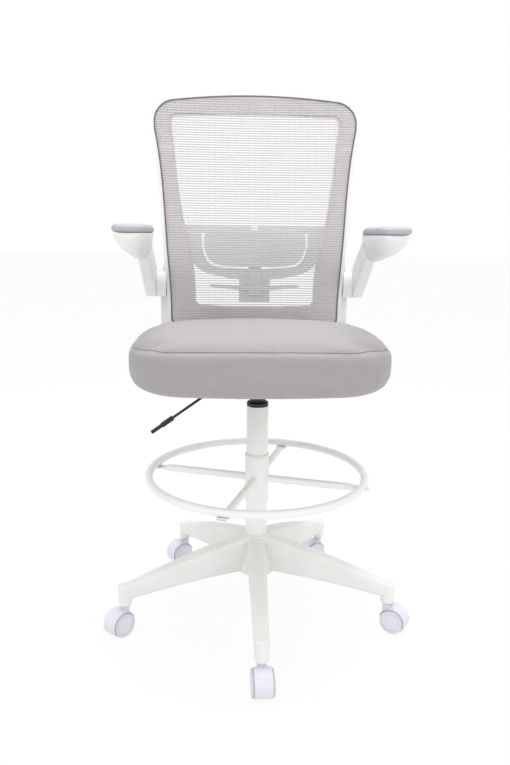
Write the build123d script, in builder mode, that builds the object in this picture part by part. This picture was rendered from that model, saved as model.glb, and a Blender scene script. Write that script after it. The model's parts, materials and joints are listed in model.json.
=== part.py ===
"""Drafting chair: castor base, gas column, foot ring, tilting seat, mesh back and fold-up arms.

Millimetres, +Z up, the sitter looks along -Y. The origin is on the floor under the column.
"""

import math
import os

from build123d import *

os.makedirs("parts", exist_ok=True)

# Driving sizes, from the photo and from what such chairs measure
STEM_RADIUS = 300       # column axis to castor stem
LEG_COUNT = 5
FIRST_LEG = -90         # the first arm of the base points to the front
WHEEL_RADIUS = 26
TUBE_RADIUS = 23.5      # outside of the column tube
TUBE_TOP = 481
LIFT_TRAVEL = 200
HOOP_RADIUS = 238       # centre line of the foot ring
HOOP_TUBE = 8.5         # radius of its tube
HOOP_HEIGHT = 327
SEAT_BOTTOM = 544
SEAT_HALF_WIDTH = 260
SEAT_FRONT = -245
SEAT_REAR = 226
BACK_TOP = 1181
ARM_AXIS_Y = 232        # fold-up axis of the arms
ARM_AXIS_Z = 728
ARM_CENTRE = 250        # distance of the arm middle from the chair middle
RUN_FIT = 0.1           # radial clearance of parts that turn or slide on each other
GAP = 0.4               # clearance between parts that pass without touching


def save(piece, name):
    """Label a finished piece and write its file."""
    piece.label = name
    export_step(piece, f"parts/{name}.step")


def save_pair(piece, name):
    """Write a right-hand piece and its mirror image on the left."""
    save(piece, f"{name}_right")
    save(mirror(piece, about=Plane.YZ, mode=Mode.PRIVATE), f"{name}_left")


def front_plane(y):
    """Plane across the chair at depth y, seen from the front, with X right and Z up."""
    return Plane((0, y, 0), x_dir=(1, 0, 0), z_dir=(0, -1, 0))


def side_plane(x):
    """Plane along the chair at width x, with Y and Z as its two directions."""
    return Plane((x, 0, 0), x_dir=(0, 1, 0), z_dir=(1, 0, 0))


def round_bar(radius, bottom, top, mode=Mode.ADD):
    """Upright cylinder on the local Z axis between two heights."""
    with Locations((0, 0, bottom)):
        Cylinder(radius, top - bottom, align=(Align.CENTER, Align.CENTER, Align.MIN), mode=mode)


def cross_bar(radius, x_start, x_end, y, z, mode=Mode.ADD):
    """Cylinder along X between two widths."""
    with BuildSketch(side_plane(x_start)) as disc:
        with Locations((y, z)):
            Circle(radius)
    extrude(disc.sketch, amount=x_end - x_start, mode=mode)


def block(x0, x1, y0, y1, z0, z1, mode=Mode.ADD):
    """Box between two corners."""
    with Locations(((x0 + x1) / 2, (y0 + y1) / 2, (z0 + z1) / 2)):
        Box(x1 - x0, y1 - y0, z1 - z0, mode=mode)


# Star base
HUB_RADIUS = 28
HUB_FOOT_RADIUS = 46
HUB_TOP = 184
HUB_BOTTOM = 100
LEG_BOTTOM = 63         # underside of the castor boss
BOSS_RADIUS = 14.5
BOSS_TOP = 107
LEG_HOLLOW = 20         # width of the hollows under an arm
HOLLOW_ROOF = 176       # their roof at the column axis, and its fall towards the tip
HOLLOW_FALL = 0.27
STEM_RADIUS_TOP = 5.5   # stem radius inside the leg
STEM_TOP = 98

# Arm sections from the hub outwards: distance, top, bottom, width
LEG_SECTIONS = ((18, HUB_TOP - 1, HUB_BOTTOM + 1, 40), (100, 166, 98, 37), (200, 138, 88, 33),
                (STEM_RADIUS - 4, 107, 75, 29))

with BuildPart() as leg:
    for distance, top, bottom, width in LEG_SECTIONS:
        with BuildSketch(side_plane(distance)):
            with Locations((0, (top + bottom) / 2)):
                RectangleRounded(width, top - bottom, 9)
    loft()
    with Locations((STEM_RADIUS, 0, LEG_BOTTOM)):
        Cylinder(BOSS_RADIUS, BOSS_TOP - LEG_BOTTOM, align=(Align.CENTER, Align.CENTER, Align.MIN))
    fillet(leg.faces().filter_by(Axis.Z).sort_by(Axis.Z)[-1].edges(), 5)
    # Three hollows under each arm leave two cross ribs
    for start, end in ((50, 122), (126, 198), (202, 276)):
        with BuildSketch(Plane.XZ):
            Polygon((start, LEG_BOTTOM), (end, LEG_BOTTOM), (end, HOLLOW_ROOF - HOLLOW_FALL * end),
                    (start, HOLLOW_ROOF - HOLLOW_FALL * start), align=None)
        extrude(amount=LEG_HOLLOW / 2, both=True, mode=Mode.SUBTRACT)
    with Locations((STEM_RADIUS, 0, LEG_BOTTOM)):
        Cylinder(STEM_RADIUS_TOP + 0.05, STEM_TOP + 1 - LEG_BOTTOM,
                 align=(Align.CENTER, Align.CENTER, Align.MIN), mode=Mode.SUBTRACT)

with BuildPart() as star_base:
    with Locations((0, 0, HUB_BOTTOM)):
        Cone(HUB_FOOT_RADIUS, HUB_RADIUS, HUB_TOP - HUB_BOTTOM, align=(Align.CENTER, Align.CENTER, Align.MIN))
    for number in range(LEG_COUNT):
        add(leg.part, rotation=(0, 0, FIRST_LEG + number * 360 / LEG_COUNT))
    round_bar(TUBE_RADIUS, HUB_BOTTOM - 1, HUB_TOP + 1, mode=Mode.SUBTRACT)
save(star_base.part, "star_base")

# Castors: the stem stays in the leg, the hood swivels on it and trails to one side
HOOD_RADIUS = WHEEL_RADIUS + 3.2
HOOD_HALF_WIDTH = 17
HOOD_TOP = 59
WEB_HALF = 6.5          # half thickness of the hood's middle web
NECK_RADIUS = 4         # stem radius inside the hood
NECK_BOTTOM = 34
WHEEL_INNER = 7
WHEEL_OUTER = 21.5
AXLE_RADIUS = 3
TRAIL = 18
# Swivel angle of each castor in the photo, counted from a castor that trails to the front
CASTOR_TURN = (4, 56, -64, -54, -41)

with BuildPart() as stems:
    with PolarLocations(STEM_RADIUS, LEG_COUNT, start_angle=FIRST_LEG):
        Cylinder(STEM_RADIUS_TOP, STEM_TOP - HOOD_TOP - GAP,
                 align=(Align.CENTER, Align.CENTER, Align.MIN))
    for spot in PolarLocations(STEM_RADIUS, LEG_COUNT, start_angle=FIRST_LEG).locations:
        with Locations(spot):
            with Locations((0, 0, NECK_BOTTOM - HOOD_TOP - GAP)):
                Cylinder(NECK_RADIUS, HOOD_TOP + GAP - NECK_BOTTOM + 1,
                         align=(Align.CENTER, Align.CENTER, Align.MIN))
save(Pos(0, 0, HOOD_TOP + GAP) * stems.part, "castor_stems")

with BuildPart() as hood:
    cross_bar(HOOD_RADIUS, -HOOD_HALF_WIDTH, HOOD_HALF_WIDTH, -TRAIL, WHEEL_RADIUS)
    for side in (-1, 1):
        cross_bar(WHEEL_RADIUS + 0.8, side * WEB_HALF, side * (HOOD_HALF_WIDTH + 1), -TRAIL, WHEEL_RADIUS,
                  mode=Mode.SUBTRACT)
    block(-30, 30, -60, 40, -10, 10, mode=Mode.SUBTRACT)
    # The shell ends high on the stem side so that the wheels show there
    for side in (-1, 1):
        inner = min(side * WEB_HALF, side * 30)
        block(inner, inner + 30 - WEB_HALF, -6, 40, 0, 33, mode=Mode.SUBTRACT)
    with BuildSketch(Plane.XY.offset(WHEEL_RADIUS + 12)):
        Circle(9.5)
    extrude(amount=HOOD_TOP - WHEEL_RADIUS - 12)
    for side in (-1, 1):
        cross_bar(WHEEL_RADIUS + 0.8, side * WEB_HALF, side * 12, -TRAIL, WHEEL_RADIUS, mode=Mode.SUBTRACT)
    round_bar(NECK_RADIUS + RUN_FIT, NECK_BOTTOM - 1, HOOD_TOP + 1, mode=Mode.SUBTRACT)
    cross_bar(AXLE_RADIUS, -HOOD_HALF_WIDTH, HOOD_HALF_WIDTH, -TRAIL, WHEEL_RADIUS, mode=Mode.SUBTRACT)

with BuildPart() as axle:
    cross_bar(AXLE_RADIUS, 3 - WHEEL_OUTER, WHEEL_OUTER - 3, -TRAIL, WHEEL_RADIUS)

with BuildPart() as wheel:
    cross_bar(WHEEL_RADIUS, WHEEL_INNER, WHEEL_OUTER, -TRAIL, WHEEL_RADIUS)
    fillet(wheel.edges().filter_by(GeomType.CIRCLE), 2)
    # Hollow towards the hood, and a shallow ring on the outer face
    with BuildSketch(side_plane(WHEEL_INNER)):
        with Locations((-TRAIL, WHEEL_RADIUS)):
            Circle(WHEEL_RADIUS - 4)
            Circle(7, mode=Mode.SUBTRACT)
    extrude(amount=9, mode=Mode.SUBTRACT)
    with BuildSketch(side_plane(WHEEL_OUTER)):
        with Locations((-TRAIL, WHEEL_RADIUS)):
            Circle(WHEEL_RADIUS - 6)
            Circle(WHEEL_RADIUS - 7.2, mode=Mode.SUBTRACT)
    extrude(amount=-1, mode=Mode.SUBTRACT)
    cross_bar(AXLE_RADIUS + RUN_FIT, WHEEL_INNER - 1, WHEEL_OUTER - 2.6, -TRAIL, WHEEL_RADIUS,
              mode=Mode.SUBTRACT)

for number, turn in enumerate(CASTOR_TURN, start=1):
    direction = math.radians(FIRST_LEG + (number - 1) * 360 / LEG_COUNT)
    place = Pos(STEM_RADIUS * math.cos(direction), STEM_RADIUS * math.sin(direction), 0) * Rot(0, 0, turn)
    save(place * hood.part, f"castor_{number}_hood")
    save(place * axle.part, f"castor_{number}_axle")
    save(place * wheel.part, f"castor_{number}_wheel_b")
    save(place * mirror(wheel.part, about=Plane.YZ, mode=Mode.PRIVATE), f"castor_{number}_wheel_a")

# Column and gas spring
TUBE_WALL = 2
TUBE_BOTTOM = HUB_BOTTOM + 4
FLOOR_THICK = 4
CYLINDER_RADIUS = 14
CYLINDER_BOTTOM = 136
CYLINDER_TOP = 522
GUIDE_TOP = CYLINDER_BOTTOM + 15
ROD_RADIUS = 5
PISTON_BOTTOM = GUIDE_TOP + LIFT_TRAVEL + 8
PISTON_TOP = PISTON_BOTTOM + 12
PIN_RADIUS = 4
PIN_TOP = 529.5
PIN_BOTTOM = 505

with BuildPart() as column_tube:
    round_bar(TUBE_RADIUS, TUBE_BOTTOM, TUBE_TOP)
    round_bar(TUBE_RADIUS - TUBE_WALL, TUBE_BOTTOM + FLOOR_THICK, TUBE_TOP + 1, mode=Mode.SUBTRACT)
    round_bar(ROD_RADIUS + GAP, TUBE_BOTTOM - 1, TUBE_BOTTOM + FLOOR_THICK + 1, mode=Mode.SUBTRACT)
save(column_tube.part, "column_tube")

with BuildPart() as column_bush:
    round_bar(TUBE_RADIUS - TUBE_WALL, TUBE_TOP - 85, TUBE_TOP)
    round_bar(TUBE_RADIUS, TUBE_TOP, TUBE_TOP + 9)
    fillet(column_bush.edges().group_by(Axis.Z)[-1], 2)
    round_bar(CYLINDER_RADIUS + RUN_FIT, TUBE_TOP - 90, TUBE_TOP + 10, mode=Mode.SUBTRACT)
save(column_bush.part, "column_bush")

BEARING_BOTTOM = TUBE_BOTTOM + FLOOR_THICK
with BuildPart() as thrust_bearing:
    for level in range(3):
        outer = 14 - level % 2
        inner = ROD_RADIUS + 0.05
        round_bar(outer, BEARING_BOTTOM + 2.5 * level, BEARING_BOTTOM + 2.5 * level + 2)
        round_bar(inner, BEARING_BOTTOM + 2.5 * level, BEARING_BOTTOM + 2.5 * level + 2, mode=Mode.SUBTRACT)
save(thrust_bearing.part, "thrust_bearing")

with BuildPart() as piston_rod:
    round_bar(ROD_RADIUS, TUBE_BOTTOM - 6, PISTON_BOTTOM)
    round_bar(CYLINDER_RADIUS - 1.6, PISTON_BOTTOM, PISTON_TOP)
    round_bar(ROD_RADIUS + 3, BEARING_BOTTOM + 8, BEARING_BOTTOM + 12)
    round_bar(ROD_RADIUS + 3, TUBE_BOTTOM - 3, TUBE_BOTTOM - GAP)
save(piston_rod.part, "piston_rod")

with BuildPart() as gas_cylinder:
    round_bar(CYLINDER_RADIUS, CYLINDER_BOTTOM, CYLINDER_TOP)
    round_bar(CYLINDER_RADIUS - 1.5, GUIDE_TOP, 490, mode=Mode.SUBTRACT)
    round_bar(ROD_RADIUS + RUN_FIT, CYLINDER_BOTTOM - 1, GUIDE_TOP + 1, mode=Mode.SUBTRACT)
    round_bar(PIN_RADIUS + RUN_FIT, 498, CYLINDER_TOP + 1, mode=Mode.SUBTRACT)
save(gas_cylinder.part, "gas_cylinder")

with BuildPart() as release_pin:
    round_bar(PIN_RADIUS, PIN_BOTTOM, PIN_TOP)
save(release_pin.part, "release_pin")

# Foot ring: the hoop lies on four spokes that are welded to a sleeve around the column
SLEEVE_BOTTOM = 261
SLEEVE_TOP = 368
COLLET_OUTER = TUBE_RADIUS + 1.1
SLEEVE_OUTER = COLLET_OUTER + 1.6
SPOKE_RADIUS = 8
SPOKE_FLAT = 4.5        # thickness of a pressed-flat spoke end
SPOKE_TURN = -18
SPOKE_LEVEL = HOOP_HEIGHT - HOOP_TUBE - SPOKE_FLAT / 2

with BuildPart() as hoop:
    with BuildSketch(Plane.XZ):
        with Locations((HOOP_RADIUS, HOOP_HEIGHT)):
            Circle(HOOP_TUBE)
    revolve(axis=Axis.Z)
save(hoop.part, "footring_hoop")

with BuildPart() as sleeve:
    round_bar(SLEEVE_OUTER, SLEEVE_BOTTOM, SLEEVE_TOP)
    round_bar(COLLET_OUTER + RUN_FIT, SLEEVE_BOTTOM - 1, SLEEVE_TOP + 1, mode=Mode.SUBTRACT)
save(sleeve.part, "footring_sleeve")

with BuildPart() as collet:
    round_bar(COLLET_OUTER, SLEEVE_BOTTOM, SLEEVE_TOP)
    round_bar(SLEEVE_OUTER, SLEEVE_TOP + GAP, SLEEVE_TOP + 4)
    round_bar(COLLET_OUTER, SLEEVE_TOP, SLEEVE_TOP + GAP)
    round_bar(TUBE_RADIUS + RUN_FIT, SLEEVE_BOTTOM - 1, SLEEVE_TOP + 5, mode=Mode.SUBTRACT)
    block(0, 30, -1.5, 1.5, SLEEVE_BOTTOM - 1, SLEEVE_TOP + 5, mode=Mode.SUBTRACT)
save(collet.part, "footring_collet")

with BuildPart() as spoke:
    flat_start = HOOP_RADIUS - 30
    flat_full = HOOP_RADIUS - 14
    with BuildSketch(side_plane(SLEEVE_OUTER - 2)):
        Circle(SPOKE_RADIUS)
    extrude(amount=flat_start - SLEEVE_OUTER + 2)
    with BuildSketch(side_plane(flat_start)):
        Ellipse(SPOKE_RADIUS, SPOKE_RADIUS)
    with BuildSketch(side_plane(flat_full)):
        Ellipse(12.5, SPOKE_FLAT / 2)
    loft()
    with BuildSketch(side_plane(flat_full)):
        Ellipse(12.5, SPOKE_FLAT / 2)
    extrude(amount=HOOP_TUBE + 17)
    with BuildSketch(side_plane(HOOP_RADIUS + HOOP_TUBE + 3)):
        Rectangle(19, 1.4)
    extrude(amount=-16, mode=Mode.SUBTRACT)
    with BuildSketch(Plane.XY.offset(-20)):
        Circle(SLEEVE_OUTER)
    extrude(amount=40, mode=Mode.SUBTRACT)

with BuildPart() as spokes:
    with PolarLocations(0, 4, start_angle=SPOKE_TURN):
        add(spoke.part)
save(Pos(0, 0, SPOKE_LEVEL) * spokes.part, "footring_spokes")

# Seat mechanism: the pan sits on the gas cylinder, the seat plate tilts on a cross shaft
TILT_Y = -45
TILT_Z = 528
SHAFT_RADIUS = 6
PAN_HALF = 48
PAN_FLOOR = 512
PAN_FRONT = -72
PAN_REAR = 50
SHEET = 3               # thickness of the pressed steel
PLATE_BOTTOM = SEAT_BOTTOM - SHEET
LEVER_Y = 25
LEVER_Z = 519
LEVER_RADIUS = 3
ROCKER_X = -26
ROCKER_Z = 523
TRUNNION = 2.5
LUG_FRONT = -11
LUG_REAR = 36

with BuildPart() as pan:
    with BuildSketch(side_plane(-PAN_HALF)):
        Polygon((PAN_FRONT, PAN_FLOOR), (PAN_REAR, PAN_FLOOR), (PAN_REAR, PAN_FLOOR + 5),
                (TILT_Y, PLATE_BOTTOM - 2), (PAN_FRONT, PLATE_BOTTOM - 2), align=None)
    extrude(amount=2 * PAN_HALF)
    block(SHEET - PAN_HALF, PAN_HALF - SHEET, PAN_FRONT + SHEET, PAN_REAR - SHEET, PAN_FLOOR + SHEET, 560,
          mode=Mode.SUBTRACT)
    round_bar(21, 497, CYLINDER_TOP - 3)
    round_bar(CYLINDER_RADIUS + 0.02, 490, CYLINDER_TOP + 10, mode=Mode.SUBTRACT)
    # Two lugs hold the trunnions of the release rocker
    for lug in (LUG_FRONT - SHEET, LUG_REAR):
        block(ROCKER_X - 7, ROCKER_X + 5, lug, lug + SHEET, PAN_FLOOR + 1, ROCKER_Z + 5)
    with BuildSketch(front_plane(-30)):
        with Locations((ROCKER_X, ROCKER_Z)):
            Circle(TRUNNION + RUN_FIT)
    extrude(amount=-80, mode=Mode.SUBTRACT)
    # Slot in the side wall and floor for the lever and its sleeve
    block(-PAN_HALF - 1, ROCKER_X + 4, LEVER_Y - 9, LEVER_Y + 9, PAN_FLOOR - 1, 560, mode=Mode.SUBTRACT)
    cross_bar(SHAFT_RADIUS, -PAN_HALF - 1, PAN_HALF + 1, TILT_Y, TILT_Z, mode=Mode.SUBTRACT)
save(pan.part, "mechanism_pan")

with BuildPart() as tilt_shaft:
    cross_bar(SHAFT_RADIUS - 0.02, -62, 62, TILT_Y, TILT_Z)
    cross_bar(SHAFT_RADIUS + 3, 57, 62, TILT_Y, TILT_Z)
    cross_bar(SHAFT_RADIUS + 3, -62, -57, TILT_Y, TILT_Z)
save(tilt_shaft.part, "tilt_shaft")

SPRING_RADIUS = 9.8
SPRING_WIRE = 1.8
with BuildPart() as tilt_spring:
    with BuildLine() as coil:
        Helix(pitch=5, height=50, radius=SPRING_RADIUS, center=(-25, TILT_Y, TILT_Z), direction=(1, 0, 0))
    with BuildSketch(Plane(coil.line @ 0, z_dir=coil.line % 0)):
        Circle(SPRING_WIRE)
    sweep(is_frenet=True)
save(tilt_spring.part, "tilt_spring")

PLATE_HALF = 72
PLATE_FRONT = -115
PLATE_REAR = 75
BOLT_SPOTS = [(x, y) for x in (-60, 60) for y in (-100, 60)]
with BuildPart() as seat_plate:
    block(-PLATE_HALF, PLATE_HALF, PLATE_FRONT, PLATE_REAR, PLATE_BOTTOM, SEAT_BOTTOM)
    fillet(seat_plate.edges().filter_by(Axis.Z), 12)
    block(-PLATE_HALF - 1, 18, -22, 45, PLATE_BOTTOM - 1, SEAT_BOTTOM + 1, mode=Mode.SUBTRACT)
    for side in (-1, 1):
        near = side * (PAN_HALF + GAP)
        far = side * (PAN_HALF + GAP + SHEET)
        block(min(near, far), max(near, far), TILT_Y - 16, TILT_Y + 16, TILT_Z - 11, PLATE_BOTTOM)
    cross_bar(SHAFT_RADIUS + RUN_FIT, -60, 60, TILT_Y, TILT_Z, mode=Mode.SUBTRACT)
    with Locations(*[(x, y, SEAT_BOTTOM) for x, y in BOLT_SPOTS]):
        Hole(3.2, depth=10)
save(seat_plate.part, "seat_plate")

with BuildPart() as rocker:
    block(ROCKER_X - 6, ROCKER_X + 4, LUG_FRONT + GAP, LUG_REAR - GAP, ROCKER_Z - 4, ROCKER_Z + 5)
    # Post with a finger over the release pin
    block(ROCKER_X - 6, ROCKER_X + 4, -6, 6, ROCKER_Z, PIN_TOP + 4)
    block(ROCKER_X, 5, -6, 6, PIN_TOP + 0.5, PIN_TOP + 4)
    # Sleeve for the lever
    block(ROCKER_X - 20, ROCKER_X, LEVER_Y - 6, LEVER_Y + 6, LEVER_Z - 6, ROCKER_Z + 4)
    with BuildSketch(front_plane(LUG_FRONT - SHEET)):
        with Locations((ROCKER_X, ROCKER_Z)):
            Circle(TRUNNION)
    extrude(amount=-(LUG_REAR - LUG_FRONT + 2 * SHEET))
    cross_bar(LEVER_RADIUS + RUN_FIT, ROCKER_X - 21, ROCKER_X + 20, LEVER_Y, LEVER_Z, mode=Mode.SUBTRACT)
save(rocker.part, "release_rocker")

# Lever: level in the mechanism, then bent down and outwards to the grip
BEND_X = -85
GRIP_X = -187
TIP_X = -232
LEVER_SLOPE = 0.715
lever_start = (ROCKER_X - 1, LEVER_Y, LEVER_Z)
lever_bend = (BEND_X, LEVER_Y, LEVER_Z)
lever_end = (TIP_X + 6, LEVER_Y, LEVER_Z + (TIP_X + 6 - BEND_X) * LEVER_SLOPE)
with BuildPart() as lever:
    with BuildLine() as lever_path:
        FilletPolyline(lever_start, lever_bend, lever_end, radius=18)
    with BuildSketch(Plane(lever_start, z_dir=(-1, 0, 0))):
        Circle(LEVER_RADIUS)
    sweep()
save(lever.part, "lever_rod")

grip_direction = Vector(-1, 0, -LEVER_SLOPE).normalized()
grip_plane = Plane((GRIP_X, LEVER_Y, LEVER_Z + (GRIP_X - BEND_X) * LEVER_SLOPE), x_dir=(0, 1, 0),
                   z_dir=grip_direction)
GRIP_LENGTH = 58
with BuildPart() as grip:
    with BuildSketch(grip_plane):
        RectangleRounded(12, 11, 4)
    extrude(amount=GRIP_LENGTH / 2)
    with BuildSketch(grip_plane.offset(GRIP_LENGTH / 2)):
        RectangleRounded(10, 8, 3)
    extrude(amount=GRIP_LENGTH / 2)
    fillet(grip.edges().sort_by(Axis.X)[:8], 1.5)
    add(lever.part, mode=Mode.SUBTRACT)
save(grip.part, "lever_grip")

# Seat
BOARD_TOP = SEAT_BOTTOM + 12
BOARD_INSET = 50
CUSHION_HEIGHT = 111
CROWN_RADIUS = 1700     # of the domed top
CROWN_Y = -10
SEAT_CORNER = 125       # corner radius in plan, and the roundings of the upper and lower edge
UPPER_EDGE = 26
LOWER_EDGE = 44


def seat_outline(inset):
    """Plan of the seat: four bowed sides with rounded corners, drawn in by the inset."""
    front = SEAT_FRONT + inset
    rear = SEAT_REAR - inset
    half = SEAT_HALF_WIDTH - inset
    with BuildSketch(Plane.XY.offset(SEAT_BOTTOM)) as plan:
        with BuildLine():
            ThreePointArc((-half + 18, front + 28), (0, front), (half - 18, front + 28))
            ThreePointArc((half - 18, front + 28), (half, front + 130), (half - 52, rear - 16))
            ThreePointArc((half - 52, rear - 16), (0, rear), (-half + 52, rear - 16))
            ThreePointArc((-half + 52, rear - 16), (-half, front + 130), (-half + 18, front + 28))
        make_face()
        fillet(plan.vertices(), SEAT_CORNER - inset)
    return plan.sketch


with BuildPart() as board:
    extrude(seat_outline(BOARD_INSET), amount=BOARD_TOP - SEAT_BOTTOM)

with BuildPart() as cushion:
    extrude(seat_outline(0), amount=CUSHION_HEIGHT + 20)
    with Locations((0, CROWN_Y, SEAT_BOTTOM + CUSHION_HEIGHT - CROWN_RADIUS)):
        Sphere(CROWN_RADIUS, mode=Mode.INTERSECT)
    fillet(cushion.faces().sort_by(Axis.Z)[-1].edges(), UPPER_EDGE)
    fillet(cushion.faces().sort_by(Axis.Z)[0].edges(), LOWER_EDGE)
    add(board.part, mode=Mode.SUBTRACT)
save(cushion.part, "seat_cushion")

TONGUE_SPOTS = [(x, y) for x in (-95, 95) for y in (125, 165)]
with BuildPart() as drilled_board:
    add(board.part)
    with Locations(*[(x, y, BOARD_TOP) for x, y in BOLT_SPOTS + TONGUE_SPOTS]):
        Hole(3, depth=20)
save(drilled_board.part, "seat_board")

TONGUE_THICK = 10
with BuildPart() as bolts:
    for spots, under in ((BOLT_SPOTS, SHEET), (TONGUE_SPOTS, TONGUE_THICK)):
        for x, y in spots:
            with Locations((x, y, SEAT_BOTTOM - under)):
                Cylinder(3, under + 10, align=(Align.CENTER, Align.CENTER, Align.MIN))
                Cylinder(6, 4, align=(Align.CENTER, Align.CENTER, Align.MAX))
save(bolts.part, "seat_bolts")

# Back: every piece is cut from layers of one curved shell
# Shell front at the middle of the chair, as height and depth
SHELL_LINE = ((500, 240), (600, 236), (700, 231), (790, 234), (900, 249), (1040, 276), (1200, 314))
SHELL_WRAP = 22         # how far the sides come forward
SHELL_HALF = 264
RIM = 8                 # white edge outside the mesh
FRAME_BOTTOM = 614
FRONT_SKETCH = front_plane(120)
# Half width of the white frame at heights from the seat to the shoulders
FRAME_SIDE = ((FRAME_BOTTOM, 212), (730, 213), (808, 219), (970, 231), (1090, 249))
# Half width of the clear opening behind the mesh
WINDOW_SIDE = ((690, 147), (797, 157), (880, 175), (997, 192), (1105, 205))
WINDOW_TOP = 1131
WINDOW_BOTTOM = 669


def shell(front, rear):
    """Layer of the curved back between two depths behind its front face."""
    with BuildPart() as layer:
        for step in (-2, -1, 0, 1, 2):
            x = step * SHELL_HALF / 2
            wrap = -SHELL_WRAP * (step / 2) ** 2
            with BuildSketch(side_plane(x)):
                with BuildLine():
                    face_line = Spline(*[(y + wrap + front, z) for z, y in SHELL_LINE])
                    back_line = Spline(*[(y + wrap + rear, z) for z, y in SHELL_LINE])
                    Line(face_line @ 0, back_line @ 0)
                    Line(face_line @ 1, back_line @ 1)
                make_face()
        loft()
    return layer.part


def back_outline(inset):
    """Front view of the back frame, drawn in by the inset."""
    right = [(half - inset, z) for z, half in FRAME_SIDE]
    right[0] = (right[0][0], FRAME_BOTTOM + inset)
    left = [(-x, z) for x, z in right]
    shoulder = BACK_TOP - 22 - inset
    corner = FRAME_SIDE[-1][1] + 3 - inset
    with BuildSketch(FRONT_SKETCH) as view:
        with BuildLine():
            Spline(*right)
            Line(right[-1], (corner, shoulder))
            ThreePointArc((corner, shoulder), (0, BACK_TOP - inset), (-corner, shoulder))
            Line((-corner, shoulder), left[-1])
            Spline(*left)
            Line(left[0], right[0])
        make_face()
        fillet(view.vertices().filter_by(lambda v: v.Y > shoulder - 1), 60 - inset)
        fillet(view.vertices().filter_by(lambda v: v.Y < FRAME_BOTTOM + inset + 1), 24)
    return view.sketch


def window_outline(grow):
    """Front view of the clear opening behind the mesh, grown outwards."""
    right = [(half + grow, z) for z, half in WINDOW_SIDE]
    left = [(-x, z) for x, z in right]
    top = WINDOW_TOP + grow - 6
    bottom = WINDOW_BOTTOM - grow + 6
    top_half = right[-1][0] + 2
    bottom_half = right[0][0] - 2
    with BuildSketch(FRONT_SKETCH) as view:
        with BuildLine():
            Spline(*right)
            Line(right[-1], (top_half, top))
            ThreePointArc((top_half, top), (0, top + 6), (-top_half, top))
            Line((-top_half, top), left[-1])
            Spline(*left)
            Line(left[0], (-bottom_half, bottom))
            ThreePointArc((-bottom_half, bottom), (0, bottom - 6), (bottom_half, bottom))
            Line((bottom_half, bottom), right[0])
        make_face()
        fillet(view.vertices().filter_by(lambda v: v.Y > top - 1 or v.Y < bottom + 1), 14)
    return view.sketch


def carry_through(sketch, mode):
    """Carry a front-view sketch right through the depth of the back."""
    extrude(sketch, amount=-300, mode=mode)


MESH_DEPTH = 1.2
CARRIER_DEPTH = 8       # mesh carrier behind the mesh
FRAME_DEPTH = 30
WELT = 2.4              # width of the dark edge around the mesh
CARRIER_INSET = RIM + GAP


def back_layer(front, rear, inset):
    """Part of the curved shell inside the frame outline, drawn in by the inset."""
    with BuildPart() as layer:
        add(shell(front, rear))
        carry_through(back_outline(inset), Mode.INTERSECT)
    return layer.part


def screw(x, z, depth, length, head):
    """Screw that enters the back from its front, at a depth behind the shell face."""
    y = shell_depth(x, z) + depth
    with BuildSketch(front_plane(y)) as ring:
        with Locations((x, z)):
            Circle(head)
    extrude(ring.sketch, amount=-3)
    with BuildSketch(front_plane(y + 3)) as shank:
        with Locations((x, z)):
            Circle(2)
    extrude(shank.sketch, amount=3 - length)


def shell_depth(x, z):
    """Depth of the shell face at a point of the front view, between the listed heights."""
    low, high = max(p for p in SHELL_LINE if p[0] <= z), min(p for p in SHELL_LINE if p[0] > z)
    share = (z - low[0]) / (high[0] - low[0])
    return low[1] + share * (high[1] - low[1]) - SHELL_WRAP * (x / SHELL_HALF) ** 2


# Screws that hold the mesh carrier in the frame; the lower two pairs show through the mesh
SCREW_SPOTS = ((184, 696), (189, 778), (215, 1000), (222, 1100))
CARRIER_SCREWS = [(side * x, z) for x, z in SCREW_SPOTS for side in (-1, 1)]
with BuildPart() as carrier_screws:
    for x, z in CARRIER_SCREWS:
        screw(x, z, 1, 20, 4)
save(carrier_screws.part, "carrier_screws")

with BuildPart() as back_frame:
    add(back_layer(-1, FRAME_DEPTH, 0))
    carry_through(window_outline(-3), Mode.SUBTRACT)
    add(back_layer(-2, CARRIER_DEPTH, RIM), mode=Mode.SUBTRACT)
    add(carrier_screws.part, mode=Mode.SUBTRACT)
save(back_frame.part, "back_frame")

with BuildPart() as mesh_carrier:
    add(back_layer(0, CARRIER_DEPTH, CARRIER_INSET))
    carry_through(window_outline(0), Mode.SUBTRACT)
    add(carrier_screws.part, mode=Mode.SUBTRACT)
save(mesh_carrier.part, "mesh_carrier")

with BuildPart() as mesh_welt:
    add(back_layer(-MESH_DEPTH - 1, 0, CARRIER_INSET))
    carry_through(back_outline(CARRIER_INSET + WELT), Mode.SUBTRACT)
save(mesh_welt.part, "mesh_welt")

# Mesh: rows of open slots between the threads, only where the frame leaves the back clear
MESH_PITCH = 5.7
MESH_OPEN = 3.2
MESH_COLUMNS = 3
SLOT_START = 139        # half width of the slotted field at its foot, and how it widens upwards
SLOT_SPREAD = 0.12
with BuildPart() as back_mesh:
    add(back_layer(-MESH_DEPTH, 0, CARRIER_INSET + WELT))
    rows = int((WINDOW_TOP - WINDOW_BOTTOM - 24) / MESH_PITCH)
    with BuildSketch(FRONT_SKETCH) as slots:
        for row in range(rows):
            z = WINDOW_BOTTOM + 16 + row * MESH_PITCH
            half = SLOT_START + (z - WINDOW_BOTTOM) * SLOT_SPREAD
            with Locations((0, z)):
                with GridLocations(2 * half / MESH_COLUMNS, 1, MESH_COLUMNS, 1):
                    Rectangle(2 * half / MESH_COLUMNS - 3, MESH_OPEN)
    carry_through(slots.sketch, Mode.SUBTRACT)
save(back_mesh.part, "back_mesh")

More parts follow.
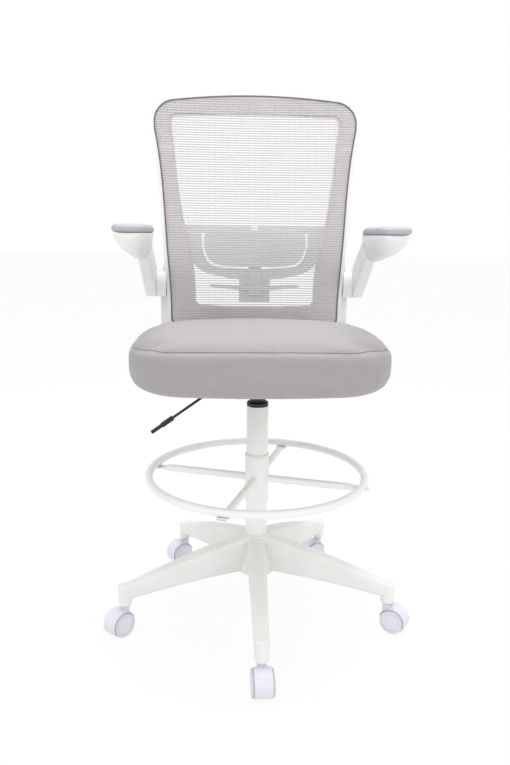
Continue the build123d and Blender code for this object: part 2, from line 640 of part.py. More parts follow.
# Yoke: two uprights behind the frame, a low cross bar and two tongues under the seat
UPRIGHT_INNER = 196
UPRIGHT_OUTER = 231
UPRIGHT_TOP = 800
YOKE_BOTTOM = 520
YOKE_DEPTH = 50
TONGUE_TOP = SEAT_BOTTOM
with BuildPart() as back_yoke:
    add(shell(FRAME_DEPTH, YOKE_DEPTH))
    with BuildSketch(FRONT_SKETCH) as fork:
        with BuildLine() as fork_edge:
            Polyline((0, YOKE_BOTTOM), (UPRIGHT_OUTER - 30, YOKE_BOTTOM), (UPRIGHT_OUTER, YOKE_BOTTOM + 40),
                     (UPRIGHT_OUTER - 2, 740), (UPRIGHT_OUTER - 16, UPRIGHT_TOP),
                     (UPRIGHT_INNER, UPRIGHT_TOP),
                     (UPRIGHT_INNER, YOKE_BOTTOM + 46), (UPRIGHT_INNER - 16, YOKE_BOTTOM + 30),
                     (0, YOKE_BOTTOM + 30))
            mirror(fork_edge.line, about=Plane.YZ)
        make_face()
        fillet(fork.vertices().filter_by(lambda v: abs(v.X) > 1), 9)
    carry_through(fork.sketch, Mode.INTERSECT)
    for side in (-1, 1):
        block(side * 95 - 25, side * 95 + 25, 105, 272, TONGUE_TOP - TONGUE_THICK, TONGUE_TOP)
    with Locations(*[(x, y, TONGUE_TOP) for x, y in TONGUE_SPOTS]):
        Hole(3, depth=20)
save(back_yoke.part, "back_yoke")

# Lumbar support: a fixed bridge with two curved arms, and a pad that a slider moves up and down
BRIDGE_FRONT = 22
PAD_FRONT = 8.4
PAD_REAR = 15
LUMBAR_PLAY = 2         # lets the slider follow its curved track
BRIDGE_TOP = 866
BRIDGE_BAR = 848        # underside of the bar between the frame sides
BLOCK_HALF = 38
BLOCK_BOTTOM = 682
# Lower and upper edge of a curved arm, from the middle outwards
ARM_LOWER = ((0, 734), (48, 738), (97, 747), (131, 759), (150, 778), (156, 815))
ARM_UPPER = ((0, 762), (50, 765), (112, 777), (126, 805), (128, 815))
PAD_LOWER = ((0, 767), (50, 770), (106, 781), (121, 808), (118, 852))


def both_sides(half_points):
    """Points of a line across the chair from its right half, starting in the middle."""
    left = [(-x, z) for x, z in half_points[:0:-1]]
    return left + list(half_points)


with BuildPart() as lumbar_bridge:
    with BuildSketch(FRONT_SKETCH) as bridge_view:
        with BuildLine():
            lower = Spline(*both_sides(ARM_LOWER))
            upper = Spline(*both_sides(ARM_UPPER))
            Line(lower @ 0, upper @ 0)
            Line(lower @ 1, upper @ 1)
        make_face()
        with Locations((0, (BRIDGE_TOP + BRIDGE_BAR) / 2)):
            Rectangle(380, BRIDGE_TOP - BRIDGE_BAR)
        for side in (-1, 1):
            with Locations((side * 160, (BRIDGE_TOP + 812) / 2)):
                Rectangle(60, BRIDGE_TOP - 812)
        with Locations((0, (740 + BLOCK_BOTTOM) / 2)):
            Rectangle(2 * BLOCK_HALF, 740 - BLOCK_BOTTOM)
        with Locations((0, BRIDGE_TOP)):
            Rectangle(14, 24, mode=Mode.SUBTRACT)
    add(shell(BRIDGE_FRONT, FRAME_DEPTH))
    carry_through(bridge_view.sketch, Mode.INTERSECT)
    add(back_frame.part, mode=Mode.SUBTRACT)
save(lumbar_bridge.part, "lumbar_bridge")

with BuildPart() as lumbar_pad:
    with BuildSketch(FRONT_SKETCH) as pad_view:
        with BuildLine():
            lower = Spline(*both_sides(PAD_LOWER))
            Line(lower @ 0, lower @ 1)
        make_face()
    add(shell(PAD_FRONT, PAD_REAR))
    carry_through(pad_view.sketch, Mode.INTERSECT)
save(lumbar_pad.part, "lumbar_pad")

with BuildPart() as lumbar_slider:
    with BuildSketch(FRONT_SKETCH) as slider_view:
        with Locations((0, 750)):
            Rectangle(30, 100)
        with BuildLine():
            lower = Spline((-109, 720), (-60, 714), (0, 712), (60, 714), (109, 720))
            upper = Spline((-109, 725), (-60, 724), (0, 722), (60, 724), (109, 725))
            Line(lower @ 0, upper @ 0)
            Line(lower @ 1, upper @ 1)
        make_face()
    add(shell(PAD_REAR, BRIDGE_FRONT - LUMBAR_PLAY))
    carry_through(slider_view.sketch, Mode.INTERSECT)
save(lumbar_slider.part, "lumbar_slider")

# Arms, built on the right and mirrored
DRUM_RADIUS = 32
DRUM_INNER = 213.6
ARM_INNER = 235.4
ARM_OUTER = 264
HINGE_PIN = 6
SHELL_TOP = 846
# Arm shell from front to rear: depth position, half width, height below its top
ARM_SECTIONS = ((-150, 22, 9), (-138, 28, 22), (-90, 31, 40), (-20, 30, 50), (50, 24, 56), (105, 15, 54))
# Arm pad from front to rear: depth position, width, middle height, thickness
PAD_SECTIONS = ((-160, 34, 853, 8), (-152, 56, 854, 13), (-110, 65, 854.5, 17), (-20, 64, 854.5, 17),
                (45, 54, 851, 16), (85, 36, 841, 13), (102, 24, 833, 9))

with BuildPart() as arm_pad:
    for y, width, middle, thick in PAD_SECTIONS:
        with BuildSketch(front_plane(y)):
            with Locations((ARM_CENTRE, middle)):
                RectangleRounded(width, thick, thick * 0.42)
    loft()
save_pair(arm_pad.part, "arm_pad")

with BuildPart() as arm_bracket:
    cross_bar(DRUM_RADIUS, DRUM_INNER, ARM_INNER - GAP, ARM_AXIS_Y, ARM_AXIS_Z)
    cross_bar(HINGE_PIN, DRUM_INNER + 4, ARM_INNER, ARM_AXIS_Y, ARM_AXIS_Z, mode=Mode.SUBTRACT)
    add(back_yoke.part, mode=Mode.SUBTRACT)
    add(back_frame.part, mode=Mode.SUBTRACT)
save_pair(arm_bracket.part, "arm_bracket")

with BuildPart() as hinge_pin:
    cross_bar(HINGE_PIN, DRUM_INNER + 4, ARM_OUTER - 4, ARM_AXIS_Y, ARM_AXIS_Z)
save_pair(hinge_pin.part, "arm_hinge_pin")

with BuildPart() as strut:
    with BuildSketch(side_plane(ARM_INNER)) as strut_view:
        with Locations((ARM_AXIS_Y, ARM_AXIS_Z)):
            Circle(DRUM_RADIUS)
        with Locations((98, 812)):
            Circle(25)
        make_hull()
    extrude(amount=ARM_OUTER - ARM_INNER)
    fillet(strut.faces().filter_by(Axis.X).edges(), 5)

with BuildPart() as arm_body:
    for y, half, drop in ARM_SECTIONS:
        with BuildSketch(front_plane(y)):
            with BuildLine():
                Line((ARM_CENTRE - half, SHELL_TOP), (ARM_CENTRE + half, SHELL_TOP))
                EllipticalCenterArc((ARM_CENTRE, SHELL_TOP), half, drop, start_angle=180, arc_size=90)
                EllipticalCenterArc((ARM_CENTRE, SHELL_TOP), half, drop, start_angle=270, arc_size=90)
            make_face()
    loft()
    add(strut.part)
    add(arm_pad.part, mode=Mode.SUBTRACT)
    with BuildSketch(side_plane(ARM_CENTRE - 40)):
        with Locations((34, 822)):
            Ellipse(15, 9)
    extrude(amount=30, mode=Mode.SUBTRACT)
    cross_bar(HINGE_PIN + RUN_FIT, ARM_INNER - 1, ARM_OUTER - 3, ARM_AXIS_Y, ARM_AXIS_Z, mode=Mode.SUBTRACT)
save_pair(arm_body.part, "arm_body")
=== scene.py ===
"""Looks of the drafting chair: finishes, soft seat and arm pads, woven back, light and camera.

Metres, in the same frame as the solid model: +Z up, the sitter looks along -Y.
"""
import json
import math

import bmesh
import bpy
import numpy
from mathutils import Euler, Matrix, Vector
from mathutils.bvhtree import BVHTree


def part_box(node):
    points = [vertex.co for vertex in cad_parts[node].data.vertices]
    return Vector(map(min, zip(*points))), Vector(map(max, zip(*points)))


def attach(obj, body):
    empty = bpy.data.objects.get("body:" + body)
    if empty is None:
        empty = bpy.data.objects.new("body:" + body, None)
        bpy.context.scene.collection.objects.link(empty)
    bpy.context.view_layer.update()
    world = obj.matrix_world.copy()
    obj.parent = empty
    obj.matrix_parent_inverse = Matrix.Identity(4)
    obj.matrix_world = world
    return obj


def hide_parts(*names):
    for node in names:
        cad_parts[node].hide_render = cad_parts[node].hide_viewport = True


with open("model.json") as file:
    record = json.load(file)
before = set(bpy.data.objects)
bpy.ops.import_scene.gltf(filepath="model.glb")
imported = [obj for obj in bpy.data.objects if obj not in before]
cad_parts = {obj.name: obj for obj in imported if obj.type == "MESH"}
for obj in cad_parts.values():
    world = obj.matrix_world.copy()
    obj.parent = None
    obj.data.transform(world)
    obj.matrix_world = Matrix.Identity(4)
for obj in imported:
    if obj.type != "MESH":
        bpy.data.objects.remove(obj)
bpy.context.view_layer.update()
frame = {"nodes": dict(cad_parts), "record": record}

nodes = frame["nodes"]
scene = bpy.context.scene

# Colours, as linear values
WHITE_PLASTIC = (0.83, 0.84, 0.82)
WHITE_PAINT = (0.84, 0.86, 0.85)
CASTOR_WHITE = (0.77, 0.76, 0.84)
TREAD_GREY = (0.52, 0.52, 0.58)
SEAT_LILAC = (0.38, 0.361, 0.375)
THREAD_LILAC = (0.54, 0.51, 0.54)
# painted shade: the white mesh carrier is coloured lilac-grey for the shadow it lies in behind the
# mesh
CARRIER_SHADED_GREY = (0.66, 0.64, 0.655)
PAD_GREY = (0.44, 0.45, 0.48)
WELT_GREY = (0.16, 0.15, 0.16)
BLACK = (0.012, 0.013, 0.014)
DARK_STEEL = (0.035, 0.037, 0.04)
STEEL = (0.50, 0.50, 0.51)
WOOD = (0.42, 0.28, 0.16)

TREAD_START = 0.0262    # distance from a wheel's middle at which its tread begins
TREAD_BLUR = 0.0003
WEAVE_PITCH = 0.0022    # of the seat cover


# Materials
class Paint:
    """A node material under construction, with its textures laid out in the chair's own frame."""

    def __init__(self, name, roughness, metallic=0.0, specular=0.5):
        self.material = bpy.data.materials.new(name)
        self.material.use_nodes = True
        self.tree = self.material.node_tree
        self.shader = self.tree.nodes["Principled BSDF"]
        self.shader.inputs["Roughness"].default_value = roughness
        self.shader.inputs["Metallic"].default_value = metallic
        self.shader.inputs["Specular IOR Level"].default_value = specular
        self.place = self.tree.nodes.new("ShaderNodeTexCoord").outputs["Object"]

    def link(self, source, target):
        self.tree.links.new(source, target)

    def noise(self, scale, detail=2.0, stretch=(1, 1, 1)):
        """Cloudy value between 0 and 1; stretch squeezes it along an axis."""
        mapping = self.tree.nodes.new("ShaderNodeMapping")
        mapping.inputs["Scale"].default_value = stretch
        self.link(self.place, mapping.inputs["Vector"])
        texture = self.tree.nodes.new("ShaderNodeTexNoise")
        texture.inputs["Scale"].default_value = scale
        texture.inputs["Detail"].default_value = detail
        self.link(mapping.outputs["Vector"], texture.inputs["Vector"])
        return texture.outputs["Fac"]

    def slanted_stripes(self, signs, pitch):
        """Soft stripes at a slant on every face at a pitch in metres, as a value between 0 and 1."""
        mapping = self.tree.nodes.new("ShaderNodeMapping")
        mapping.inputs["Scale"].default_value = signs
        self.link(self.place, mapping.inputs["Vector"])
        texture = self.tree.nodes.new("ShaderNodeTexWave")
        texture.bands_direction = "DIAGONAL"
        texture.inputs["Scale"].default_value = 2 * math.pi / (10 * math.sqrt(2) * pitch)
        self.link(mapping.outputs["Vector"], texture.inputs["Vector"])
        return texture.outputs["Fac"]

    def combine(self, operation, first, second):
        """One value from two values or numbers."""
        node = self.tree.nodes.new("ShaderNodeMath")
        node.operation = operation
        for socket, value in zip(node.inputs, (first, second)):
            if isinstance(value, (int, float)):
                socket.default_value = value
            else:
                self.link(value, socket)
        return node.outputs[0]

    def colours(self, value, low, high, start=0.0, end=1.0):
        """Base colour between two colours along a value."""
        ramp = self.tree.nodes.new("ShaderNodeValToRGB")
        ramp.color_ramp.elements[0].position = start
        ramp.color_ramp.elements[1].position = end
        ramp.color_ramp.elements[0].color = (*low, 1)
        ramp.color_ramp.elements[1].color = (*high, 1)
        self.link(value, ramp.inputs["Fac"])
        self.link(ramp.outputs["Color"], self.shader.inputs["Base Color"])

    def roughness(self, value, low, high):
        span = self.tree.nodes.new("ShaderNodeMapRange")
        span.inputs["To Min"].default_value = low
        span.inputs["To Max"].default_value = high
        self.link(value, span.inputs["Value"])
        self.link(span.outputs["Result"], self.shader.inputs["Roughness"])

    def bump(self, height, depth, strength=1.0):
        """Relief from a value, with its depth in metres."""
        node = self.tree.nodes.new("ShaderNodeBump")
        node.inputs["Strength"].default_value = strength
        node.inputs["Distance"].default_value = depth
        self.link(height, node.inputs["Height"])
        self.link(node.outputs["Normal"], self.shader.inputs["Normal"])


def shade(colour, factor):
    return tuple(channel * factor for channel in colour)


def moulded(name, colour, roughness, grain=900, depth=0.00012):
    """Moulded plastic: even colour with slight clouds, fine grain and uneven gloss."""
    paint = Paint(name, roughness)
    paint.colours(paint.noise(14), shade(colour, 0.965), shade(colour, 1.02), 0.3, 0.7)
    paint.roughness(paint.noise(40), roughness - 0.06, roughness + 0.06)
    paint.bump(paint.noise(grain, 1), depth, 0.35)
    return paint.material


def coated(name, colour, roughness):
    """Powder-coated steel: a low orange-peel relief under a soft gloss."""
    paint = Paint(name, roughness)
    paint.colours(paint.noise(9), shade(colour, 0.97), shade(colour, 1.02), 0.3, 0.7)
    paint.roughness(paint.noise(60), roughness - 0.05, roughness + 0.05)
    paint.bump(paint.noise(420, 1), 0.00025, 0.3)
    return paint.material


def bare_steel(name, colour, roughness):
    """Drawn steel with fine lines round its length."""
    paint = Paint(name, roughness, metallic=1.0)
    lines = paint.noise(300, 3, (1, 1, 8))
    paint.colours(lines, shade(colour, 0.82), shade(colour, 1.1), 0.3, 0.7)
    paint.roughness(lines, roughness - 0.08, roughness + 0.1)
    paint.bump(lines, 0.0001, 0.3)
    return paint.material


def woven(name, colour, pitch):
    """Slanted weave: threads cross on every face, a little uneven, with a soft sheen."""
    paint = Paint(name, 0.88, specular=0.25)
    rising = paint.slanted_stripes((1, 1, 1), pitch)
    falling = paint.slanted_stripes((1, -1, -1), pitch)
    leaning = paint.slanted_stripes((-1, 1, -1), pitch)
    knots = paint.combine("MULTIPLY", paint.combine("MAXIMUM", rising, falling), leaning)
    slubs = paint.combine("MULTIPLY", paint.noise(420, 3), 0.6)
    threads = paint.combine("ADD", paint.combine("MULTIPLY", knots, 0.3), slubs)
    paint.colours(threads, shade(colour, 0.84), shade(colour, 1.12), 0.2, 0.75)
    paint.bump(knots, 0.0005, 0.4)
    paint.shader.inputs["Sheen Weight"].default_value = 0.25
    paint.shader.inputs["Sheen Roughness"].default_value = 0.5
    return paint.material


def yarn(name, colour):
    """Spun thread with fine twist lines and lighter and darker lengths."""
    paint = Paint(name, 0.8, specular=0.3)
    twist = paint.noise(900, 2, (1, 1, 3))
    lengths = paint.noise(30, 2, (1, 1, 30))
    fine = paint.combine("MULTIPLY", twist, 0.5)
    mixed = paint.combine("ADD", fine, paint.combine("MULTIPLY", lengths, 0.5))
    paint.colours(mixed, shade(colour, 0.85), shade(colour, 1.15), 0.3, 0.7)
    paint.bump(twist, 0.0002, 0.5)
    return paint.material


def soft_skin(name, colour):
    """Foamed arm pad: matt skin with a fine leather-like grain."""
    paint = Paint(name, 0.62, specular=0.4)
    grain = paint.tree.nodes.new("ShaderNodeTexVoronoi")
    grain.inputs["Scale"].default_value = 620
    paint.link(paint.place, grain.inputs["Vector"])
    paint.colours(paint.noise(35, 3), shade(colour, 0.975), shade(colour, 1.025), 0.3, 0.7)
    paint.roughness(paint.noise(90), 0.54, 0.7)
    paint.bump(grain.outputs["Distance"], 0.0003, 0.4)
    return paint.material


def plywood(name, colour):
    """Raw board with long grain lines."""
    paint = Paint(name, 0.75, specular=0.3)
    grain = paint.noise(40, 5, (1, 0.08, 1))
    paint.colours(grain, shade(colour, 0.65), shade(colour, 1.2), 0.3, 0.7)
    paint.bump(grain, 0.0004, 0.4)
    return paint.material


def wheel_finish(name, centre):
    """Castor wheel: pale moulded face and a soft grey tread beyond a radius from the axle."""
    paint = Paint(name, 0.42)
    offset = paint.tree.nodes.new("ShaderNodeVectorMath")
    offset.operation = "DISTANCE"
    offset.inputs[1].default_value = centre
    paint.link(paint.place, offset.inputs[0])
    paint.colours(offset.outputs["Value"], CASTOR_WHITE, TREAD_GREY,
                  TREAD_START - TREAD_BLUR, TREAD_START + TREAD_BLUR)
    paint.roughness(paint.noise(60), 0.36, 0.5)
    paint.bump(paint.noise(700, 1), 0.0001, 0.3)
    return paint.material


finishes = {
    "white_plastic": moulded("white_plastic_grained", WHITE_PLASTIC, 0.45),
    "castor_plastic": moulded("castor_plastic_smooth", CASTOR_WHITE, 0.36, depth=0.00006),
    "white_paint": coated("white_powder_coat", WHITE_PAINT, 0.38),
    "black": moulded("black_plastic_matt", BLACK, 0.5),
    "dark_steel": coated("dark_gas_cylinder", DARK_STEEL, 0.35),
    "steel": bare_steel("drawn_steel", STEEL, 0.35),
    "plywood": plywood("seat_plywood", WOOD),
    "seat_fabric": woven("seat_weave", SEAT_LILAC, WEAVE_PITCH),
    "mesh_fabric": yarn("mesh_yarn", THREAD_LILAC),
    "arm_foam": soft_skin("arm_pad_skin", PAD_GREY),
}
# Mesh carrier in a darker lilac-grey: painted shade for the white carrier shadowed behind the mesh
carrier_shaded_finish = moulded("mesh_carrier_painted_shade", CARRIER_SHADED_GREY, 0.55)
welt_finish = yarn("mesh_welt_cord", WELT_GREY)


def wear(obj, material):
    """Give an object this one material."""
    obj.data.materials.clear()
    obj.data.materials.append(material)


def dress_nodes():
    """Give every solid the finish of its material slot."""
    for piece in frame["record"]["subparts"]:
        name = piece["node"]
        wear(nodes[name], finishes[piece["material_slot"]])
        if "_wheel_" in name:
            low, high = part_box(name)
            centre = [(a + b) / 2 for a, b in zip(low, high)]
            wear(nodes[name], wheel_finish(f"{name}_finish", centre))
    wear(nodes["mesh_carrier"], carrier_shaded_finish)
    wear(nodes["mesh_welt"], welt_finish)


dress_nodes()


# Mesh tools
def add_object(name, mesh, material, body):
    """Put a mesh into the scene with its finish, riding on a body."""
    obj = bpy.data.objects.new(name, mesh)
    scene.collection.objects.link(obj)
    wear(obj, material)
    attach(obj, body)
    return obj


def evaluated_mesh(obj):
    """Mesh of an object with its modifiers applied."""
    bpy.context.view_layer.update()
    graph = bpy.context.evaluated_depsgraph_get()
    return bpy.data.meshes.new_from_object(obj.evaluated_get(graph))


def remeshed(node, voxel):
    """Even quad mesh of a solid, as a loose object."""
    obj = bpy.data.objects.new(f"{node}_work", nodes[node].data.copy())
    scene.collection.objects.link(obj)
    remesh = obj.modifiers.new("even", "REMESH")
    remesh.mode = "VOXEL"
    remesh.voxel_size = voxel
    obj.data = evaluated_mesh(obj)
    obj.modifiers.clear()
    return obj


def read_points(mesh):
    """Points of a mesh as rows of an array."""
    flat = numpy.empty(3 * len(mesh.vertices), numpy.float32)
    mesh.vertices.foreach_get("co", flat)
    return flat.reshape(-1, 3)


def read_normals(mesh):
    """Directions in which the points of a mesh face, as rows of an array."""
    flat = numpy.empty(3 * len(mesh.vertices), numpy.float32)
    mesh.vertex_normals.foreach_get("vector", flat)
    return flat.reshape(-1, 3)


def write_points(mesh, points):
    mesh.vertices.foreach_set("co", points.astype(numpy.float32).ravel())
    mesh.update()


def surface_of(mesh):
    """Search tree that finds where a ray meets a mesh."""
    return BVHTree.FromPolygons([v.co for v in mesh.vertices], [p.vertices[:] for p in mesh.polygons])


def smooth_points(obj, rounds, factor=0.5):
    """Relax the points of a mesh."""
    relax = obj.modifiers.new("relax", "SMOOTH")
    relax.iterations = rounds
    relax.factor = factor
    obj.data = evaluated_mesh(obj)
    obj.modifiers.clear()


def shade_smooth(obj):
    obj.data.polygons.foreach_set("use_smooth", [True] * len(obj.data.polygons))


def subdivide(obj):
    """Round the mesh with one subdivision."""
    rounder = obj.modifiers.new("round", "SUBSURF")
    rounder.levels = 1
    rounder.render_levels = 1
    obj.data = evaluated_mesh(obj)
    obj.modifiers.clear()


# Seat cushion, swollen by its filling
SEAT_GRID = 0.006       # size of the faces that the cover starts with
SEAT_FOOT = 0.016       # the cover is held still below this height
SWELL_START = 0.002     # the cushion starts this much smaller
SWELL_CAP = 0.008       # and no point moves further than this
SWELL_FRAMES = 20
SWELL_PRESSURE = 4.0
SIDE_FULLNESS = 0.040   # share by which the filling pushes the sides out above the foot
FULL_FROM = 0.050       # height above the underside from which the sides are full
SHOULDER_LIFT = 0.010   # and how much it lifts the top at the sides
SEAM_HEIGHT = 0.084     # of the sewn line above the cushion's underside, at its sides
SEAM_RISE = 0.0065      # and how much higher it runs in the middle of the front
SEAM_WIDTH = 0.0035
SEAM_DEPTH = 0.0022
SIDE_FACING = 0.2       # least share by which a face of the side looks outwards
SEAM_CORD = 0.0007      # radius of the sewn cord
SEAM_SPOTS = 240


def swell(obj, pinned_below):
    """Blow a closed skin up by pressure, held still at its foot, and keep the result."""
    rest = read_points(obj.data)
    held = obj.vertex_groups.new(name="held")
    held.add(numpy.flatnonzero(rest[:, 2] < pinned_below).tolist(), 1.0, "REPLACE")
    cloth = obj.modifiers.new("filling", "CLOTH")
    cloth.settings.use_pressure = True
    cloth.settings.uniform_pressure_force = SWELL_PRESSURE
    cloth.settings.vertex_group_mass = held.name
    cloth.settings.effector_weights.gravity = 0.0
    cloth.point_cache.frame_start = 1
    cloth.point_cache.frame_end = SWELL_FRAMES
    for step in range(1, SWELL_FRAMES + 1):
        scene.frame_set(step)
    obj.data = evaluated_mesh(obj)
    obj.modifiers.clear()
    scene.frame_set(1)
    moves = read_points(obj.data) - rest
    lengths = numpy.linalg.norm(moves, axis=1, keepdims=True)
    moves *= numpy.minimum(1.0, SWELL_CAP / numpy.maximum(lengths, 1e-9))
    write_points(obj.data, rest + moves)


def fill_out(mesh, low, high):
    """Push the sides out and lift the shoulders, as a firm filling does."""
    points = read_points(mesh)
    rise = numpy.clip((points[:, 2] - low.z) / FULL_FROM, 0, 1)
    across = 2 * (points[:, 0] - low.x) / (high.x - low.x) - 1
    fullness = rise * rise * (3 - 2 * rise)
    upper = numpy.clip((points[:, 2] - low.z) / (high.z - low.z), 0, 1)
    points[:, 0] *= 1 + SIDE_FULLNESS * fullness
    points[:, 2] += SHOULDER_LIFT * across ** 2 * upper ** 3
    write_points(mesh, points)


def seam_height(x, low, high):
    """Height of the sewn line at a width: it follows the crown of the seat."""
    across = 2 * (x - low.x) / (high.x - low.x) - 1
    return low.z + SEAM_HEIGHT + SEAM_RISE * (1 - across * across)


def sew_groove(mesh, low, high):
    """Draw the cover in along the sewn line around its sides."""
    points, normals = read_points(mesh), read_normals(mesh)
    pull = numpy.exp(-((points[:, 2] - seam_height(points[:, 0], low, high)) / SEAM_WIDTH) ** 2)
    outwards = points[:, :2] - numpy.array([(low.x + high.x) / 2, (low.y + high.y) / 2])
    outwards /= numpy.linalg.norm(outwards, axis=1, keepdims=True)
    on_side = (normals[:, :2] * outwards).sum(axis=1) > SIDE_FACING
    write_points(mesh, points - normals * (SEAM_DEPTH * pull * on_side)[:, None])


def make_seat():
    """Woven cushion with its sewn line around the top panel."""
    cushion = remeshed("seat_cushion", SEAT_GRID)
    low, high = (Vector(corner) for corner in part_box("seat_cushion"))
    foot = low.z + SEAT_FOOT
    points = read_points(cushion.data)
    shrink = SWELL_START * (points[:, 2] > foot)
    write_points(cushion.data, points - read_normals(cushion.data) * shrink[:, None])
    swell(cushion, foot)
    fill_out(cushion.data, low, high)
    smooth_points(cushion, 3)
    subdivide(cushion)
    sew_groove(cushion.data, low, high)
    shade_smooth(cushion)
    cushion.name = "seat_cover"
    wear(cushion, finishes["seat_fabric"])
    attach(cushion, "seat")
    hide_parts("seat_cushion")
    make_seam(cushion, low, high)


def make_seam(cushion, low, high):
    """Thin sewn cord that lies in the groove of the cushion."""
    tree = surface_of(cushion.data)
    middle = (low + high) / 2
    points = []
    for step in range(SEAM_SPOTS):
        angle = 2 * math.pi * step / SEAM_SPOTS
        outwards = Vector((math.cos(angle), math.sin(angle), 0))
        start = Vector((middle.x, middle.y, 0)) + outwards * 0.5
        start.z = low.z + SEAM_HEIGHT
        for _ in range(3):
            hit = tree.ray_cast(start, -outwards)[0]
            start.z = seam_height(hit.x, low, high)
        points.append(hit - outwards * SEAM_CORD / 3)
    curve = bpy.data.curves.new("seat_seam", "CURVE")
    curve.dimensions = "3D"
    curve.bevel_depth = SEAM_CORD
    curve.bevel_resolution = 2
    line = curve.splines.new("POLY")
    line.points.add(SEAM_SPOTS - 1)
    for spot, point in zip(line.points, points):
        spot.co = (*point, 1)
    line.use_cyclic_u = True
    seam = bpy.data.objects.new("seat_seam", curve)
    scene.collection.objects.link(seam)
    seam.data.materials.append(yarn("seam_thread", shade(SEAT_LILAC, 0.45)))
    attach(seam, "seat")


# Arm pads
PAD_GRID = 0.0035


def make_arm_pad(side):
    """Soft pad with rounded shoulders, on its arm."""
    pad = remeshed(f"arm_pad_{side}", PAD_GRID)
    smooth_points(pad, 12)
    subdivide(pad)
    shade_smooth(pad)
    pad.name = f"arm_cushion_{side}"
    wear(pad, finishes["arm_foam"])
    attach(pad, f"arm_{side}")
    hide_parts(f"arm_pad_{side}")


# Back mesh: flat threads across, fine ones upright
SHELL_WRAP = 0.022      # how far the sides of the back come forward
SHELL_HALF = 0.264
EDGE_STEP = 0.0005      # the edge of the mesh is looked for in these steps
THREAD_PITCH = 0.0057
THREAD_HALF_HEIGHT = 0.0011
THREAD_HALF_DEPTH = 0.0004
THREAD_STEPS = 32       # straight lengths along one thread
UPRIGHT_PITCH = 0.016
UPRIGHT_HALF = 0.0001
NET_MARGIN = 0.002      # the outermost threads stay this far inside the mesh


def bow(x):
    """How far the mesh comes forward at a width."""
    return SHELL_WRAP * (x / SHELL_HALF) ** 2


def face_at(tree, x, z):
    """Point of the mesh that is seen from the front at a width and height, if any."""
    return tree.ray_cast(Vector((x, -1, z)), Vector((0, 1, 0)))[0]


def edge_of_mesh(tree, z):
    """Half width of the mesh at a height, and the depth of its middle there."""
    half = SHELL_HALF
    while not face_at(tree, half, z):
        half -= EDGE_STEP
    return half, face_at(tree, half, z).y + bow(half)


def tube(builder, path, half_height, half_depth, sides, upright=False):
    """Closed thread along a path, flat or round, standing or lying."""
    rings = []
    for point in path:
        ring = []
        for corner in range(sides):
            angle = 2 * math.pi * corner / sides
            wide, deep = half_height * math.sin(angle), half_depth * math.cos(angle)
            offset = Vector((wide, deep, 0)) if upright else Vector((0, deep, wide))
            ring.append(builder.verts.new(point + offset))
        rings.append(ring)
    for first, second in zip(rings, rings[1:]):
        for corner in range(sides):
            after = (corner + 1) % sides
            builder.faces.new((first[corner], first[after], second[after], second[corner]))
    builder.faces.new(rings[0])
    builder.faces.new(reversed(rings[-1]))


def make_back_mesh():
    """Stretched net of the back, thread by thread."""
    source = nodes["back_mesh"].data
    tree = surface_of(source)
    low, high = (Vector(corner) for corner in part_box("back_mesh"))
    builder = bmesh.new()
    rows = int((high.z - low.z - 2 * NET_MARGIN) / THREAD_PITCH)
    heights = [low.z + NET_MARGIN + row * THREAD_PITCH for row in range(rows + 1)]
    edges = [edge_of_mesh(tree, z) for z in heights]
    for z, (half, depth) in zip(heights, edges):
        spots = [half * (2 * step / THREAD_STEPS - 1) for step in range(THREAD_STEPS + 1)]
        tube(builder, [Vector((x, depth - bow(x) + THREAD_HALF_DEPTH, z)) for x in spots],
             THREAD_HALF_HEIGHT, THREAD_HALF_DEPTH, 6)
    columns = int(high.x / UPRIGHT_PITCH)
    for column in range(-columns, columns + 1):
        x = column * UPRIGHT_PITCH
        path = [Vector((x, depth - bow(x) + 2 * THREAD_HALF_DEPTH, z))
                for z, (half, depth) in zip(heights, edges) if half > abs(x) + 0.001]
        if len(path) > 2:
            tube(builder, path, UPRIGHT_HALF, UPRIGHT_HALF, 4, upright=True)
    bmesh.ops.recalc_face_normals(builder, faces=builder.faces)
    mesh = bpy.data.meshes.new("back_net")
    builder.to_mesh(mesh)
    builder.free()
    net = add_object("back_net", mesh, finishes["mesh_fabric"], "seat")
    shade_smooth(net)
    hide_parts("back_mesh")


make_seat()
for side in ("left", "right"):
    make_arm_pad(side)
make_back_mesh()


# Floor, light and camera
FLOOR_HALF = 30
FLOOR_DROP = 0.0005     # the floor lies this far below the wheels
FLOOR_GLOW = 0.9        # share of plain white in the floor that the camera sees
SKY_STRENGTH = 0.78


def seen_directly(tree):
    """Value that is 1 for what the camera, a mirror or glass sees, and 0 for light on the chair."""
    path = tree.nodes.new("ShaderNodeLightPath")
    seen = tree.nodes.new("ShaderNodeMath")
    seen.operation = "MAXIMUM"
    tree.links.new(path.outputs["Is Camera Ray"], seen.inputs[0])
    tree.links.new(path.outputs["Is Glossy Ray"], seen.inputs[1])
    through = tree.nodes.new("ShaderNodeMath")
    through.operation = "MAXIMUM"
    tree.links.new(seen.outputs[0], through.inputs[0])
    tree.links.new(path.outputs["Is Transmission Ray"], through.inputs[1])
    return through.outputs[0]


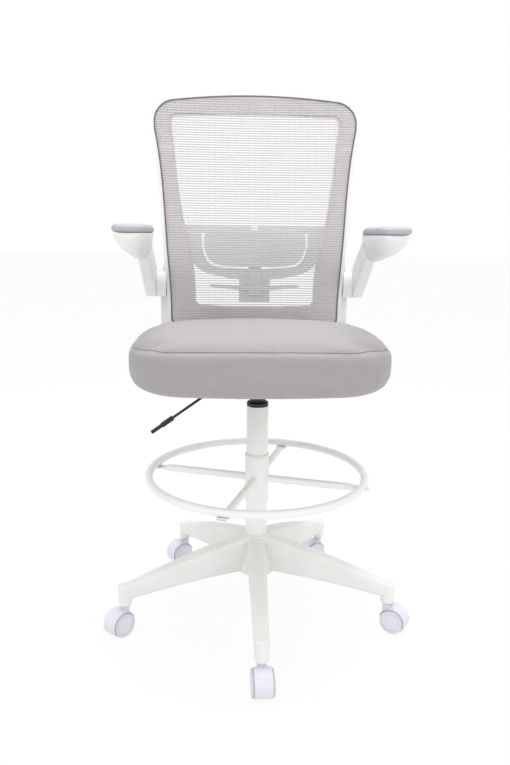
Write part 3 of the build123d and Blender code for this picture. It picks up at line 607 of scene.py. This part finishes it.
def make_floor():
    """Pale floor that keeps a faint shadow."""
    builder = bmesh.new()
    bmesh.ops.create_grid(builder, x_segments=1, y_segments=1, size=FLOOR_HALF)
    mesh = bpy.data.meshes.new("floor")
    builder.to_mesh(mesh)
    builder.free()
    floor = bpy.data.objects.new("floor", mesh)
    floor.location.z = -FLOOR_DROP
    scene.collection.objects.link(floor)
    material = bpy.data.materials.new("pale_floor")
    material.use_nodes = True
    tree = material.node_tree
    lit = tree.nodes["Principled BSDF"]
    lit.inputs["Base Color"].default_value = (0.9, 0.9, 0.9, 1)
    lit.inputs["Roughness"].default_value = 0.9
    glow = tree.nodes.new("ShaderNodeEmission")
    share = tree.nodes.new("ShaderNodeMath")
    share.operation = "MULTIPLY"
    share.inputs[1].default_value = FLOOR_GLOW
    tree.links.new(seen_directly(tree), share.inputs[0])
    mix = tree.nodes.new("ShaderNodeMixShader")
    tree.links.new(share.outputs[0], mix.inputs["Fac"])
    tree.links.new(lit.outputs["BSDF"], mix.inputs[1])
    tree.links.new(glow.outputs["Emission"], mix.inputs[2])
    tree.links.new(mix.outputs["Shader"], tree.nodes["Material Output"].inputs["Surface"])
    mesh.materials.append(material)


def make_sky():
    """White surroundings that light the chair evenly from all sides."""
    world = bpy.data.worlds.new("studio")
    scene.world = world
    world.use_nodes = True
    tree = world.node_tree
    soft = tree.nodes["Background"]
    soft.inputs["Color"].default_value = (1.0, 1.0, 1.0, 1)
    soft.inputs["Strength"].default_value = SKY_STRENGTH
    white = tree.nodes.new("ShaderNodeBackground")
    white.inputs["Color"].default_value = (1.0, 1.0, 1.0, 1)
    mix = tree.nodes.new("ShaderNodeMixShader")
    tree.links.new(seen_directly(tree), mix.inputs["Fac"])
    tree.links.new(soft.outputs["Background"], mix.inputs[1])
    tree.links.new(white.outputs["Background"], mix.inputs[2])
    tree.links.new(mix.outputs["Shader"], tree.nodes["World Output"].inputs["Surface"])


def make_lamp(name, place, target, size, power):
    """Large soft lamp that faces a point."""
    data = bpy.data.lights.new(name, "AREA")
    data.shape = "DISK"
    data.size = size
    data.energy = power
    lamp = bpy.data.objects.new(name, data)
    lamp.location = place
    lamp.rotation_euler = (Vector(target) - Vector(place)).to_track_quat("-Z", "Y").to_euler()
    scene.collection.objects.link(lamp)


CAMERA_PLACE = (-0.0654, -1.4502, 0.8436)
CAMERA_TURN = -2.34     # degrees, from looking straight at the chair
CAMERA_DOWN = 12.12
CAMERA_ROLL = 0.63
FOCAL_PIXELS = 685
PICTURE_HEIGHT = 765
SENSOR = 36.0


def make_camera():
    """Camera where the photograph was taken."""
    data = bpy.data.cameras.new("photo_camera")
    data.sensor_width = SENSOR
    data.lens = SENSOR * FOCAL_PIXELS / PICTURE_HEIGHT
    camera = bpy.data.objects.new("photo_camera", data)
    aim = Euler((math.radians(90 - CAMERA_DOWN), 0, math.radians(CAMERA_TURN))).to_matrix()
    aim = aim @ Matrix.Rotation(math.radians(CAMERA_ROLL), 3, "Z")
    camera.matrix_world = Matrix.Translation(CAMERA_PLACE) @ aim.to_4x4()
    scene.collection.objects.link(camera)
    scene.camera = camera


make_floor()
make_sky()
make_lamp("key", place=(-1.6, -2.2, 2.6), target=(0, 0, 0.7), size=1.8, power=22)
make_lamp("fill", place=(2.0, -1.8, 1.6), target=(0, 0, 0.6), size=1.8, power=12)
make_lamp("top", place=(0.2, 0.6, 3.0), target=(0, 0, 0.6), size=2.0, power=48)
make_camera()
scene.view_settings.view_transform = "Standard"
